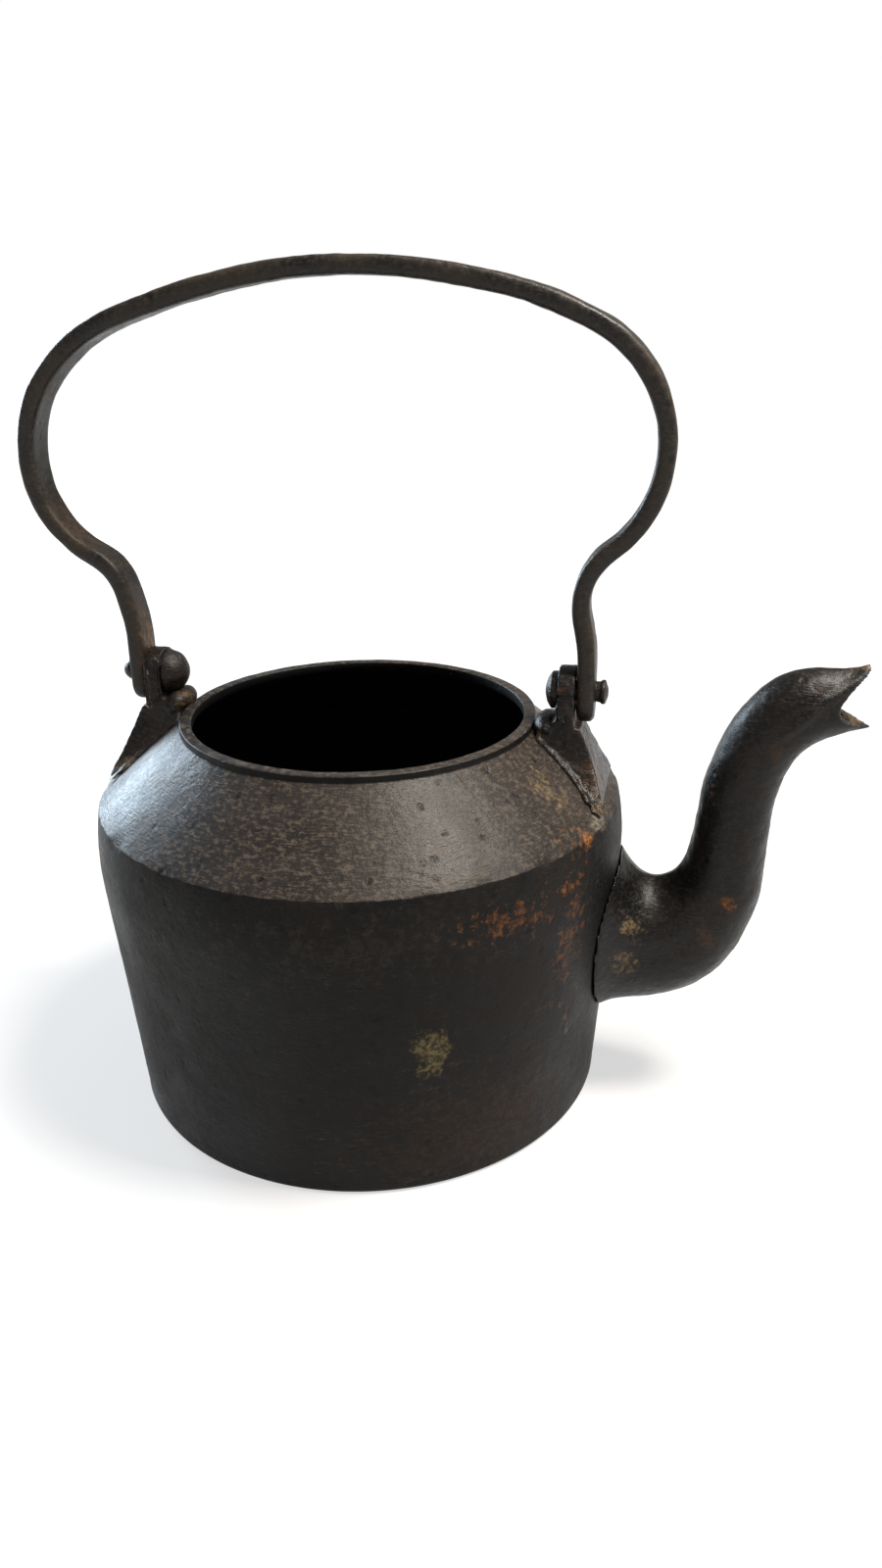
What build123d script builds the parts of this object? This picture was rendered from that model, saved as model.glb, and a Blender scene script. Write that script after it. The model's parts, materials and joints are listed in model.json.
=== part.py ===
from build123d import *
from math import atan2, cos, radians, sin, tan
import os

# Cast iron kettle, in millimetres.
# The origin is the middle of the base, +Z is up and +X points to the spout.

# Pot: a tapered wall that turns in a little to a crisp shoulder ridge, a conical shoulder
# and a low rim collar
BASE_R = 90.3
TAPER_TOP_R = 97.7
TAPER_TOP_Z = 92.0
RIDGE_R = 96.2
RIDGE_Z = 117.2
RIM_Z = 145.5
OPENING_R = 60.4
RIM_BAND = 4.8
RIM_LIFT = 2.6
WALL = 4.0
FLOOR = 5.0
BASE_ROUND = 2.5
RIDGE_ROUND = 1.6
RIM_ROUND = 0.9
FLOOR_CORNER_ROUND = 9.0
INNER_RIDGE_ROUND = 6.0

# Pivots of the bail, both on one axis along X, set in from the shoulder ridge
PIVOT_SETBACK = 13.1
PIVOT_RISE = 11.3
PIN_R = 3.65
PIN_CLEARANCE = 0.1
SIDE_CLEARANCE = 0.3

# Bail: a forged flat bar that rises from two upright ends
BAR_WIDTH = 13.3
BAR_THICK = 6.4
BAR_EDGE_ROUND = 2.0
BAR_END_DROP = 11.0
BAIL_RISE = 138.4
SPOUT_SIDE_STRAIGHT = 8.0
BACK_SIDE_STRAIGHT = 11.0
# Points that the middle of the bar passes: distance out from its pivot, height over the pins
SPOUT_SIDE_BENDS = [(-2.1, 26.0), (6.4, 49.5), (22.9, 79.5), (0.9, 120.0), (-32.6, 132.5)]
BACK_SIDE_BENDS = [(2.9, 31.0), (13.4, 43.5), (33.4, 76.0), (20.4, 107.5), (-5.1, 123.5)]

# Lugs: round-headed ears that spread to a foot on the shoulder. Each knee is the distance out
# from the face that it belongs to and the drop under the pins
LUG_THICK = 6.1
LUG_HEAD_R = 9.0
LUG_NECK_HALF = 8.2
LUG_FOOT_HALF = 25.0
LUG_FOOT_DROP = 35.5
LUG_FLARE_DROP = 9.5
LUG_RIM_GAP = 1.2
LUG_INNER_FLARE_DROP = 8.2
LUG_SWING_CLEARANCE = 0.6
LUG_INNER_KNEE = (-2.5, 10.8)
LUG_RIDGE_GAP = 4.0
LUG_OUTER_KNEE = (7.0, 21.8)
LUG_LEDGE = 2.2

# Rivets: shanks fixed in the lugs, with formed heads inside and upset ends outside
FRONT_HEAD_R = 6.7
FRONT_HEAD_CHEEK = 2.4
FRONT_HEAD_DEPTH = 4.8
FRONT_PLAY = 2.1
FRONT_UPSET_R = 4.3
FRONT_UPSET_DEPTH = 1.3
FRONT_POINT_R = 1.5
FRONT_POINT_DEPTH = 1.1
REAR_HEAD_R = 8.1
REAR_HEAD_DEPTH = 8.1
REAR_UPSET_R = 4.3
REAR_UPSET_DEPTH = 4.2

# Spout: each station is the section's middle (x, z), the lean of its top towards the pot
# in degrees, its half-height, its half-width and the wall's thickness there
SPOUT_STATIONS = [
    (84.0, 71.0, 0.0, 40.0, 29.0, 17.0),
    (92.0, 70.0, 0.0, 38.0, 28.0, 15.0),
    (102.6, 63.2, 1.3, 27.8, 20.5, 7.0),
    (112.2, 62.2, 8.4, 24.6, 17.2, 5.0),
    (128.0, 72.2, 29.5, 20.8, 15.0, 4.0),
    (135.4, 92.0, 56.0, 16.1, 13.4, 3.6),
    (137.0, 115.0, 76.8, 13.1, 12.5, 3.6),
    (143.0, 139.3, 69.3, 12.9, 12.2, 3.6),
    (158.6, 155.9, 37.3, 13.5, 11.4, 3.6),
    (167.8, 158.3, 28.0, 12.3, 8.6, 3.0),
    (178.5, 160.3, 11.3, 11.2, 4.6, 2.4),
]
# Notch of the open beak, from above its upper lip to below its lower lip
BEAK_NOTCH = [(190.0, 187.4), (165.2, 154.7), (190.0, 144.9)]
BEAK_NOTCH_ROUND = 4.0

# Places worked out from the sizes above
COLLAR_R = OPENING_R + RIM_BAND
COLLAR_FOOT_Z = RIM_Z - RIM_LIFT
WALL_LEAN = atan2(TAPER_TOP_R - BASE_R, TAPER_TOP_Z)
SHOULDER_SLOPE = atan2(COLLAR_FOOT_Z - RIDGE_Z, RIDGE_R - COLLAR_R)
PIVOT_X = RIDGE_R - PIVOT_SETBACK
PIVOT_Z = RIM_Z + PIVOT_RISE
BAIL_INNER_X = PIVOT_X - BAR_THICK / 2
BAIL_OUTER_X = PIVOT_X + BAR_THICK / 2
LUG_OUTER_X = BAIL_INNER_X - SIDE_CLEARANCE
LUG_INNER_X = LUG_OUTER_X - LUG_THICK
LUG_INNER_FOOT = COLLAR_R + LUG_RIM_GAP
LUG_OUTER_FOOT = RIDGE_R - LUG_RIDGE_GAP
PIN_AXIS = Axis((0, 0, PIVOT_Z), (1, 0, 0))
SPOUT_SIDE = 1
BACK_SIDE = -1


def across_pins(x):
    """Plane square to the pins at a distance along X, with its middle on their axis."""
    return Plane(origin=(x, 0, PIVOT_Z), x_dir=(0, 1, 0), z_dir=(1, 0, 0))


def shoulder_z(radius, inset=0.0):
    """Height of the shoulder cone at a radius, or of the cone set in from it."""
    return RIDGE_Z + (RIDGE_R - radius) * tan(SHOULDER_SLOPE) - inset / cos(SHOULDER_SLOPE)


def wall_r(height, inset=0.0):
    """Radius of the tapered wall at a height, or of the wall set in from it."""
    return BASE_R + height * tan(WALL_LEAN) - inset / cos(WALL_LEAN)


def outer_outline():
    """Outside of the pot up to the inner edge of the rim, drawn into the open line block."""
    side = Polyline((0, 0), (BASE_R, 0), (TAPER_TOP_R, TAPER_TOP_Z))
    turn_in = TangentArc(side @ 1, (RIDGE_R, RIDGE_Z), tangent=side % 1)
    return Polyline(turn_in @ 1, (COLLAR_R, COLLAR_FOOT_Z), (COLLAR_R, RIM_Z), (OPENING_R, RIM_Z))


def corner(sketch, *points):
    """Vertices of a sketch that lie nearest to the given points."""
    return [sketch.vertices().sort_by_distance(point)[0] for point in points]


def round_outside(sketch):
    """Rounds the outer corners of the pot's outline."""
    fillet(corner(sketch, (BASE_R, 0)), BASE_ROUND)
    fillet(corner(sketch, (RIDGE_R, RIDGE_Z)), RIDGE_ROUND)
    fillet(corner(sketch, (COLLAR_R, RIM_Z)), RIM_ROUND)


def oval(half_width, half_height):
    """Closed oval of four arcs, drawn into the open line block."""
    turns = [radians(45 * step) for step in range(9)]
    points = [(half_width * cos(turn), half_height * sin(turn)) for turn in turns]
    for start in range(0, 8, 2):
        ThreePointArc(points[start], points[start + 1], points[start + 2])


def dome(base_x, depth, radius):
    """Arc from the top of a rivet's dome to its rim, drawn into the open line block."""
    TangentArc((base_x + depth, PIVOT_Z), (base_x, PIVOT_Z + radius), tangent=(0, 1))


def spout_plane(x, z, lean):
    """Plane of one section across the spout."""
    ahead = (cos(radians(lean)), 0, sin(radians(lean)))
    return Plane(origin=(x, 0, z), x_dir=(0, 1, 0), z_dir=ahead)


# Outside of the pot as a plain solid, which trims the pieces that seat on it
with BuildPart() as pot_form:
    with BuildSketch(Plane.XZ) as form_outline:
        with BuildLine():
            outside = outer_outline()
            Polyline(outside @ 1, (0, RIM_Z), (0, 0))
        make_face()
        round_outside(form_outline)
    revolve(axis=Axis.Z)

# Water way of the spout, which also opens the pot's wall
with BuildPart() as spout_bore:
    for x, z, lean, half_height, half_width, wall in SPOUT_STATIONS:
        with BuildSketch(spout_plane(x, z, lean)):
            with BuildLine():
                oval(half_width - wall, half_height - wall)
            make_face()
    loft()

# Pot, one hollow casting with an open top
with BuildPart() as kettle_body:
    inner_ridge = (RIDGE_R - WALL, shoulder_z(RIDGE_R - WALL, WALL))
    floor_corner = (wall_r(FLOOR, WALL), FLOOR)
    with BuildSketch(Plane.XZ) as wall_section:
        with BuildLine():
            outside = outer_outline()
            Polyline(
                outside @ 1,
                (OPENING_R, shoulder_z(OPENING_R, WALL)),
                inner_ridge,
                (wall_r(TAPER_TOP_Z, WALL), TAPER_TOP_Z),
                floor_corner,
                (0, FLOOR),
                (0, 0),
            )
        make_face()
        round_outside(wall_section)
        fillet(corner(wall_section, (OPENING_R, RIM_Z)), RIM_ROUND)
        fillet(corner(wall_section, inner_ridge), INNER_RIDGE_ROUND)
        fillet(corner(wall_section, floor_corner), FLOOR_CORNER_ROUND)
    revolve(axis=Axis.Z)
    add(spout_bore.part, mode=Mode.SUBTRACT)
kettle_body.part.label = "kettle_body"

# Spout, cast on its own and seated on the wall, with an open beak at its end
with BuildPart() as spout:
    for x, z, lean, half_height, half_width, wall in SPOUT_STATIONS:
        with BuildSketch(spout_plane(x, z, lean)):
            with BuildLine():
                oval(half_width, half_height)
            make_face()
    loft()
    add(pot_form.part, mode=Mode.SUBTRACT)
    add(spout_bore.part, mode=Mode.SUBTRACT)
    with BuildSketch(Plane.XZ):
        with BuildLine():
            notch = FilletPolyline(BEAK_NOTCH, radius=BEAK_NOTCH_ROUND)
            Line(notch @ 1, notch @ 0)
        make_face()
    extrude(amount=RIDGE_R, both=True, mode=Mode.SUBTRACT)
spout.part.label = "spout"

# Front lug, under the spout side of the bail, seated on the shoulder
with BuildPart() as front_lug:
    with BuildSketch(across_pins(0)):
        Circle(LUG_HEAD_R)
        with BuildLine():
            flare_top = (LUG_NECK_HALF, -LUG_FLARE_DROP)
            flare_foot = (LUG_FOOT_HALF, -LUG_FOOT_DROP)
            neck = Line((LUG_NECK_HALF, 0), flare_top)
            flare = TangentArc(flare_top, flare_foot, tangent=(0, -1))
            Line(flare @ 1, (0, -LUG_FOOT_DROP))
            Line((0, 0), neck @ 0)
            mirror(about=Plane.YZ)
        make_face()
    extrude(amount=RIDGE_R)
    with BuildSketch(Plane.XZ):
        with BuildLine():
            inner_lean, inner_drop = LUG_INNER_KNEE
            outer_lean, outer_drop = LUG_OUTER_KNEE
            head_top = PIVOT_Z + LUG_HEAD_R
            foot_z = PIVOT_Z - LUG_FOOT_DROP
            ledge_z = PIVOT_Z - BAR_END_DROP - LUG_SWING_CLEARANCE
            Polyline(
                (LUG_INNER_X, head_top),
                (LUG_INNER_X, PIVOT_Z - LUG_INNER_FLARE_DROP),
                (LUG_INNER_X + inner_lean, PIVOT_Z - inner_drop),
                (LUG_INNER_FOOT, shoulder_z(LUG_INNER_FOOT)),
                (LUG_INNER_FOOT, foot_z),
                (LUG_OUTER_FOOT, foot_z),
                (LUG_OUTER_FOOT, shoulder_z(LUG_OUTER_FOOT)),
                (LUG_OUTER_X + outer_lean, PIVOT_Z - outer_drop),
                (LUG_OUTER_X + LUG_LEDGE, ledge_z),
                (LUG_OUTER_X, ledge_z),
                (LUG_OUTER_X, head_top),
                close=True,
            )
        make_face()
    extrude(amount=RIDGE_R, both=True, mode=Mode.INTERSECT)
    add(pot_form.part, mode=Mode.SUBTRACT)
    with BuildSketch(across_pins(0)):
        Circle(PIN_R)
    extrude(amount=RIDGE_R, mode=Mode.SUBTRACT)
front_lug.part.label = "front_lug"

# Rear lug, the same ear on the far side
with BuildPart() as rear_lug:
    add(mirror(front_lug.part, about=Plane.YZ))
rear_lug.part.label = "rear_lug"

# Bail handle: one bar from tongue to tongue
with BuildPart() as handle:
    for side in (SPOUT_SIDE, BACK_SIDE):
        straight = SPOUT_SIDE_STRAIGHT if side == SPOUT_SIDE else BACK_SIDE_STRAIGHT
        with BuildSketch(across_pins(side * PIVOT_X - BAR_THICK / 2)):
            with BuildLine():
                half = BAR_WIDTH / 2
                tip = half - BAR_END_DROP
                round_end = ThreePointArc((-half, tip), (0, -BAR_END_DROP), (half, tip))
                Polyline(round_end @ 1, (half, straight), (-half, straight), round_end @ 0)
            make_face()
        extrude(amount=BAR_THICK)
    flats = handle.faces().filter_by(Axis.X)
    fillet(flats.edges().filter_by(Axis.Y, reverse=True), BAR_EDGE_ROUND)
    with BuildLine(Plane.XZ):
        leg_tops = []
        for side, straight, bends in (
            (SPOUT_SIDE, SPOUT_SIDE_STRAIGHT, SPOUT_SIDE_BENDS),
            (BACK_SIDE, BACK_SIDE_STRAIGHT, BACK_SIDE_BENDS),
        ):
            end = (side * PIVOT_X, PIVOT_Z + straight)
            heading = (0, 1)
            for out, rise in bends:
                bend = TangentArc(end, (side * (PIVOT_X + out), PIVOT_Z + rise), tangent=heading)
                end = bend @ 1
                heading = bend % 1
            leg_tops.append((end, heading))
        (spout_end, spout_heading), (back_end, back_heading) = leg_tops
        crown_top = (0, PIVOT_Z + BAIL_RISE)
        Spline(spout_end, crown_top, back_end, tangents=(spout_heading, -back_heading))
    bar_start = Plane(origin=(PIVOT_X, 0, PIVOT_Z + SPOUT_SIDE_STRAIGHT), x_dir=(1, 0, 0))
    with BuildSketch(bar_start):
        RectangleRounded(BAR_THICK, BAR_WIDTH, BAR_EDGE_ROUND)
    sweep()
    with BuildSketch(across_pins(0)):
        Circle(PIN_R + PIN_CLEARANCE)
    extrude(amount=BAIL_OUTER_X, both=True, mode=Mode.SUBTRACT)
handle.part.label = "handle"

# Front rivet: flat-topped dome inside, shank with play outside the bar, pointed upset end
with BuildPart() as front_rivet:
    with BuildSketch(Plane.XZ):
        with BuildLine():
            shank_end = BAIL_OUTER_X + FRONT_PLAY
            upset_end = shank_end + FRONT_UPSET_DEPTH
            head_end = LUG_INNER_X - FRONT_HEAD_DEPTH
            cheek_end = LUG_INNER_X - FRONT_HEAD_CHEEK
            Polyline(
                (cheek_end, PIVOT_Z + FRONT_HEAD_R),
                (LUG_INNER_X, PIVOT_Z + FRONT_HEAD_R),
                (LUG_INNER_X, PIVOT_Z + PIN_R),
                (shank_end, PIVOT_Z + PIN_R),
                (shank_end, PIVOT_Z + FRONT_UPSET_R),
                (upset_end, PIVOT_Z + FRONT_UPSET_R),
                (upset_end + FRONT_POINT_DEPTH, PIVOT_Z + FRONT_POINT_R),
                (upset_end + FRONT_POINT_DEPTH, PIVOT_Z),
                (head_end, PIVOT_Z),
            )
            dome(cheek_end, head_end - cheek_end, FRONT_HEAD_R)
        make_face()
    revolve(axis=PIN_AXIS)
front_rivet.part.label = "front_rivet"

# Rear rivet: a larger dome inside and a small dome close to the bar outside
with BuildPart() as rear_rivet:
    with BuildSketch(Plane.XZ):
        with BuildLine():
            upset_start = -BAIL_OUTER_X - SIDE_CLEARANCE
            Line((REAR_HEAD_DEPTH - LUG_INNER_X, PIVOT_Z), (upset_start - REAR_UPSET_DEPTH, PIVOT_Z))
            Polyline(
                (upset_start, PIVOT_Z + REAR_UPSET_R),
                (upset_start, PIVOT_Z + PIN_R),
                (-LUG_INNER_X, PIVOT_Z + PIN_R),
                (-LUG_INNER_X, PIVOT_Z + REAR_HEAD_R),
            )
            dome(-LUG_INNER_X, REAR_HEAD_DEPTH, REAR_HEAD_R)
            dome(upset_start, -REAR_UPSET_DEPTH, REAR_UPSET_R)
        make_face()
    revolve(axis=PIN_AXIS)
rear_rivet.part.label = "rear_rivet"

os.makedirs("parts", exist_ok=True)
export_step(kettle_body.part, "parts/kettle_body.step")
export_step(spout.part, "parts/spout.step")
export_step(front_lug.part, "parts/front_lug.step")
export_step(rear_lug.part, "parts/rear_lug.step")
export_step(handle.part, "parts/handle.step")
export_step(front_rivet.part, "parts/front_rivet.step")
export_step(rear_rivet.part, "parts/rear_rivet.step")
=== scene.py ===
import json
from math import atan2, cos, hypot, pi, radians, sin, sqrt, tan

import bmesh
import bpy
from bpy.props import FloatProperty, FloatVectorProperty, IntProperty, PointerProperty
from mathutils import Matrix, Vector, noise


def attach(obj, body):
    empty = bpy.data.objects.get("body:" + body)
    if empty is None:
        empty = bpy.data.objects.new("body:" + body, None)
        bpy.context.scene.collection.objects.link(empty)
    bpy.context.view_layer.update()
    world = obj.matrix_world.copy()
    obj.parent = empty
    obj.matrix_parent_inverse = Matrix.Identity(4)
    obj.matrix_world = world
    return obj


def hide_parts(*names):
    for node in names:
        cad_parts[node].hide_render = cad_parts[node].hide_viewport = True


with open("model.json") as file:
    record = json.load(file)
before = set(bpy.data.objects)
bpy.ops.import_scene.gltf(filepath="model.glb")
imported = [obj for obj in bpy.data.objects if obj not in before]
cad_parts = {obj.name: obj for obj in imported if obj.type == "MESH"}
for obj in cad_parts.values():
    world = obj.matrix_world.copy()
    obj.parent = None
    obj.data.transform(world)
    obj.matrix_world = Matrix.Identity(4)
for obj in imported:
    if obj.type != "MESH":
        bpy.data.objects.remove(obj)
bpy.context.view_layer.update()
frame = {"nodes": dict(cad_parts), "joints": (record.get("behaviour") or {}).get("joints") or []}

bl_info = {
    "name": "Cast iron kettle",
    "version": (1, 0, 0),
    "blender": (4, 5, 0),
    "location": "View3D > Sidebar > Kettle",
    "description": "Dresses the packed kettle with cast and forged pieces",
    "category": "Add Mesh",
}

MM = 0.001
PIN_Z = frame["joints"][0]["pos_m"][2] / MM

# Pot's outline in millimetres: radii from its axis, heights from its base
BASE_R = 90.3
BASE_ROUND = 2.5
TAPER_TOP = (97.7, 92.0)
RIDGE = (96.2, 117.2)
RIDGE_ROUND = 1.4
INNER_RIDGE_ROUND = 6.0
COLLAR_R = 65.2
COLLAR_FOOT_Z = 142.9
COLLAR_FOOT_ROUND = 0.8
RIM_Z = 145.5
LIP_ROUND = 0.9
OPENING_R = 60.4
WALL = 4.0
FLOOR = 5.0
FLOOR_ROUND = 9.0
SHOULDER_SLOPE = atan2(COLLAR_FOOT_Z - RIDGE[1], RIDGE[0] - COLLAR_R)
WALL_LEAN = atan2(TAPER_TOP[0] - BASE_R, TAPER_TOP[1])

# How finely the outline is drawn: its longest run, steps in a rounded corner, steps under the ridge
LONGEST_RUN = 3.0
CORNER_STEPS = 6
BEND_STEPS = 8

# Middle (x, z), lean in degrees, half-height and half-width of the water way at the pot's wall
BORE_STATIONS = [
    (84.0, 71.0, 0.0, 23.0, 12.0),
    (92.0, 70.0, 0.0, 23.0, 13.0),
    (102.6, 63.2, 1.3, 20.8, 13.5),
    (112.2, 62.2, 8.4, 19.6, 12.2),
]
BORE_SIDES = 48
SEAM_SIDES = 10

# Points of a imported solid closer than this, in millimetres, are one point
WELD = 0.0005


def limited(value):
    """The value, held between 0 and 1."""
    return min(1.0, max(0.0, value))


def shoulder_z(radius, inset=0.0):
    """Height of the shoulder cone at a radius."""
    return RIDGE[1] + (RIDGE[0] - radius) * tan(SHOULDER_SLOPE) - inset / cos(SHOULDER_SLOPE)


def wall_r(height, inset=0.0):
    """Radius of the tapered wall at a height."""
    return BASE_R + height * tan(WALL_LEAN) - inset / cos(WALL_LEAN)


def arc_from(start, heading, end, steps):
    """Points of the arc that leaves start along heading and ends at end."""
    left = Vector((-heading.y, heading.x))
    chord = Vector(end) - Vector(start)
    radius = chord.length_squared / (2 * left.dot(chord))
    sweep = 2 * atan2(left.dot(chord), heading.dot(chord))
    points = []
    for step in range(1, steps + 1):
        turn = sweep * step / steps
        along = heading * sin(turn) + left * (1 - cos(turn))
        points.append(tuple(Vector(start) + radius * along))
    return points


def rounded(corners):
    """Outline through corners given as (point, radius), each rounded to its radius."""
    points = [point for point, radius in corners]
    outline = [points[0]]
    for before, (corner, radius), after in zip(points, corners[1:], points[2:]):
        if radius <= 0:
            outline.append(corner)
            continue
        here = Vector(corner)
        back = (Vector(before) - here).normalized()
        ahead = (Vector(after) - here).normalized()
        half = back.angle(ahead) / 2
        reach = radius / tan(half)
        centre = here + (back + ahead).normalized() * radius / sin(half)
        start = here + back * reach - centre
        turn = start.angle_signed(here + ahead * reach - centre)
        for step in range(CORNER_STEPS + 1):
            spun = start.copy()
            spun.rotate(Matrix.Rotation(-turn * step / CORNER_STEPS, 2))
            outline.append(tuple(centre + spun))
    outline.append(points[-1])
    return outline


def divided(outline, step):
    """The outline with its long runs cut into steps."""
    result = [outline[0]]
    for start, end in zip(outline, outline[1:]):
        a, b = Vector(start), Vector(end)
        cuts = max(1, round((b - a).length / step))
        result += [tuple(a.lerp(b, k / cuts)) for k in range(1, cuts + 1)]
    return result


def pot_outline():
    """Outline of the pot's wall, from under its base, over its rim, to its inner floor."""
    heading = (Vector(TAPER_TOP) - Vector((BASE_R, 0.0))).normalized()
    bend = arc_from(TAPER_TOP, heading, RIDGE, BEND_STEPS)
    inner_ridge_r = RIDGE[0] - WALL
    corners = [
        ((0, 0), 0),
        ((BASE_R, 0), BASE_ROUND),
        (TAPER_TOP, 0),
        *((point, 0) for point in bend[:-1]),
        (bend[-1], RIDGE_ROUND),
        ((COLLAR_R, COLLAR_FOOT_Z), COLLAR_FOOT_ROUND),
        ((COLLAR_R, RIM_Z), LIP_ROUND),
        ((OPENING_R, RIM_Z), LIP_ROUND),
        ((OPENING_R, shoulder_z(OPENING_R, WALL)), 0),
        ((inner_ridge_r, shoulder_z(inner_ridge_r, WALL)), INNER_RIDGE_ROUND),
        ((wall_r(TAPER_TOP[1], WALL), TAPER_TOP[1]), 0),
        ((wall_r(FLOOR, WALL), FLOOR), FLOOR_ROUND),
        ((0, FLOOR), 0),
    ]
    return divided(rounded(corners), LONGEST_RUN)


def bridge(shape, rings):
    """Joins each ring of points to the next with faces."""
    for first, second in zip(rings, rings[1:]):
        for k in range(len(first)):
            n = (k + 1) % len(first)
            shape.faces.new((first[k], first[n], second[n], second[k]))


def close_ends(shape, rings):
    """Closes the first and the last ring with a flat face."""
    shape.faces.new(rings[0][::-1])
    shape.faces.new(rings[-1])


def revolved(outline, around):
    """bmesh of an outline turned about Z; the first and last points lie on the axis."""
    shape = bmesh.new()
    turns = [2 * pi * k / around for k in range(around)]
    rings = [
        [shape.verts.new((radius * cos(turn), radius * sin(turn), z)) for turn in turns]
        for radius, z in outline[1:-1]
    ]
    bridge(shape, rings)
    for ring, z, flip in ((rings[0], outline[0][1], True), (rings[-1], outline[-1][1], False)):
        middle = shape.verts.new((0, 0, z))
        for k in range(around):
            n = (k + 1) % around
            shape.faces.new((ring[n], ring[k], middle) if flip else (ring[k], ring[n], middle))
    return shape


def water_way():
    """bmesh of the cutter for the hole from the pot into the spout."""
    shape = bmesh.new()
    rings = []
    for x, z, lean, half_height, half_width in BORE_STATIONS:
        up = Vector((-sin(radians(lean)), 0, cos(radians(lean)))) * half_height
        ring = []
        for k in range(BORE_SIDES):
            turn = 2 * pi * k / BORE_SIDES
            place = Vector((x, 0, z)) + Vector((0, half_width, 0)) * cos(turn) + up * sin(turn)
            ring.append(shape.verts.new(place))
        rings.append(ring)
    bridge(shape, rings)
    close_ends(shape, rings)
    return shape


def tube(shape, path, radii):
    """Adds a closed round tube along a path of points."""
    rings = []
    for index, point in enumerate(path):
        ahead = path[min(index + 1, len(path) - 1)] - path[max(index - 1, 0)]
        across = ahead.cross(Vector((0, 0, 1))).normalized()
        up = across.cross(ahead).normalized()
        ring = []
        for k in range(SEAM_SIDES):
            turn = 2 * pi * k / SEAM_SIDES
            out = across * cos(turn) + up * sin(turn)
            ring.append(shape.verts.new(point + radii[index] * out))
        rings.append(ring)
    bridge(shape, rings)
    close_ends(shape, rings)


def lump(shape, centre, radii):
    """Adds a closed lump with three radii."""
    where = Matrix.Translation(centre) @ Matrix.Diagonal((*radii, 1))
    bmesh.ops.create_icosphere(shape, subdivisions=3, radius=1, matrix=where)


def piece_from(shape, name):
    """Object made of a bmesh that is in millimetres."""
    bmesh.ops.scale(shape, vec=(MM,) * 3, verts=shape.verts)
    bmesh.ops.recalc_face_normals(shape, faces=shape.faces)
    mesh = bpy.data.meshes.new(name)
    shape.to_mesh(mesh)
    shape.free()
    piece = bpy.data.objects.new(name, mesh)
    bpy.context.scene.collection.objects.link(piece)
    return piece


def settle(piece):
    """Applies the piece's modifiers to its mesh."""
    bpy.context.view_layer.update()
    graph = bpy.context.evaluated_depsgraph_get()
    mesh = bpy.data.meshes.new_from_object(piece.evaluated_get(graph))
    piece.modifiers.clear()
    old = piece.data
    piece.data = mesh
    bpy.data.meshes.remove(old)
    mesh.name = piece.name


def recast(name, node, voxel, softening, additions=None):
    """Piece with a CAD node's form, fused with its added lumps and softened as a casting is."""
    shape = bmesh.new()
    shape.from_mesh(frame["nodes"][node].data)
    bmesh.ops.scale(shape, vec=(1 / MM,) * 3, verts=shape.verts)
    bmesh.ops.remove_doubles(shape, verts=shape.verts, dist=WELD)
    if additions:
        additions(shape)
    piece = piece_from(shape, name)
    remesh = piece.modifiers.new("fused", "REMESH")
    remesh.mode = "VOXEL"
    remesh.voxel_size = voxel * MM
    smooth = piece.modifiers.new("softened", "SMOOTH")
    smooth.factor = 0.5
    smooth.iterations = softening
    settle(piece)
    return piece


def move_points(piece, shift):
    """Moves each point by shift(point, normal), which works in millimetres."""
    mesh = piece.data
    normals = [entry.vector.copy() for entry in mesh.vertex_normals]
    moved = []
    for vertex, normal in zip(mesh.vertices, normals):
        point = vertex.co / MM
        moved.extend((point + shift(point, normal)) * MM)
    mesh.vertices.foreach_set("co", moved)
    mesh.update()


def uneven(point, size, seed=0.0):
    """Smooth noise from -1 to 1 with features of a size in millimetres."""
    return noise.noise(point / size + Vector((seed, 2 * seed, -seed)))


def finish_piece(piece, material, body, slot, *nodes):
    """Gives the piece its material and its body, and hides the nodes that it stands for; the slot
    is not used.
    """
    piece.data.materials.clear()
    piece.data.materials.append(material)
    for face in piece.data.polygons:
        face.use_smooth = True
    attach(piece, body)
    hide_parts(*nodes)


def add_node(tree, kind, inputs=None, **settings):
    """Adds a shader node; each input is a value or another node's output."""
    item = tree.nodes.new("ShaderNode" + kind)
    for key, value in settings.items():
        setattr(item, key, value)
    for key, value in (inputs or {}).items():
        if isinstance(value, bpy.types.NodeSocket):
            tree.links.new(value, item.inputs[key])
        else:
            item.inputs[key].default_value = value
    return item


def calc(tree, operation, first, second=0.0, clamp=False):
    """Output of a Math node."""
    item = add_node(tree, "Math", {0: first, 1: second}, operation=operation, use_clamp=clamp)
    return item.outputs[0]


def times(tree, first, second, clamp=False):
    """Product of two values."""
    return calc(tree, "MULTIPLY", first, second, clamp)


def plus(tree, first, second, clamp=False):
    """Sum of two values."""
    return calc(tree, "ADD", first, second, clamp)


def minus(tree, first, second, clamp=False):
    """First value less the second."""
    return calc(tree, "SUBTRACT", first, second, clamp)


def vector_calc(tree, operation, first, second=(0.0, 0.0, 0.0), output="Vector"):
    """Output of a Vector Math node."""
    item = add_node(tree, "VectorMath", {0: first, 1: second}, operation=operation)
    return item.outputs[output]


def between(tree, value, low, high, start=0.0, end=1.0):
    """Value mapped smoothly from low..high to start..end."""
    settings = {"Value": value, "From Min": low, "From Max": high, "To Min": start, "To Max": end}
    item = add_node(tree, "MapRange", settings, interpolation_type="SMOOTHSTEP")
    return item.outputs["Result"]


def blend_colour(tree, mask, under, over):
    """Colour that changes from under to over where the mask is 1."""
    item = add_node(tree, "Mix", data_type="RGBA")
    for key, value in (("Factor_Float", mask), ("A_Color", under), ("B_Color", over)):
        socket = next(entry for entry in item.inputs if entry.identifier == key)
        if isinstance(value, bpy.types.NodeSocket):
            tree.links.new(value, socket)
        else:
            socket.default_value = value
    return next(entry for entry in item.outputs if entry.identifier == "Result_Color")


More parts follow.
